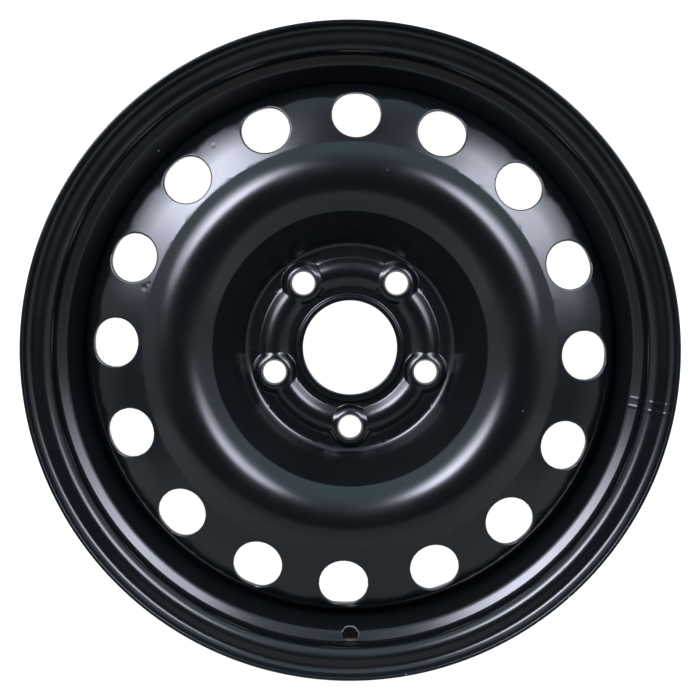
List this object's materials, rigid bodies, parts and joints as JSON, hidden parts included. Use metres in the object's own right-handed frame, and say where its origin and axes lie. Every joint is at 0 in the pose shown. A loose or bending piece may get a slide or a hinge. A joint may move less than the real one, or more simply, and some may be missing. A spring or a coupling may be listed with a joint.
{
  "type": "steel wheel rim",
  "caption": "Pressed steel road wheel: rolled drop-centre rim welded to a dished disc with round vents, a centre bore and a ring of coned bolt holes; black paint.",
  "frame": {"origin": "on the wheel's axis, in the plane of the hub's mounting face", "axes": "+Z along the wheel's axis, outboard; the wheel lies on its inboard flange; -Y points at the valve hole"},
  "size_m": [0.4402, 0.44, 0.1872],
  "materials": {
    "black_paint": "semi-gloss black paint on steel",
    "weld_paint": "semi-gloss black paint on weld metal"
  },
  "bodies": {
    "root": {"rim": "black_paint", "disc": "black_paint", "weld_beads": "weld_paint"}
  },
  "joints": []
}
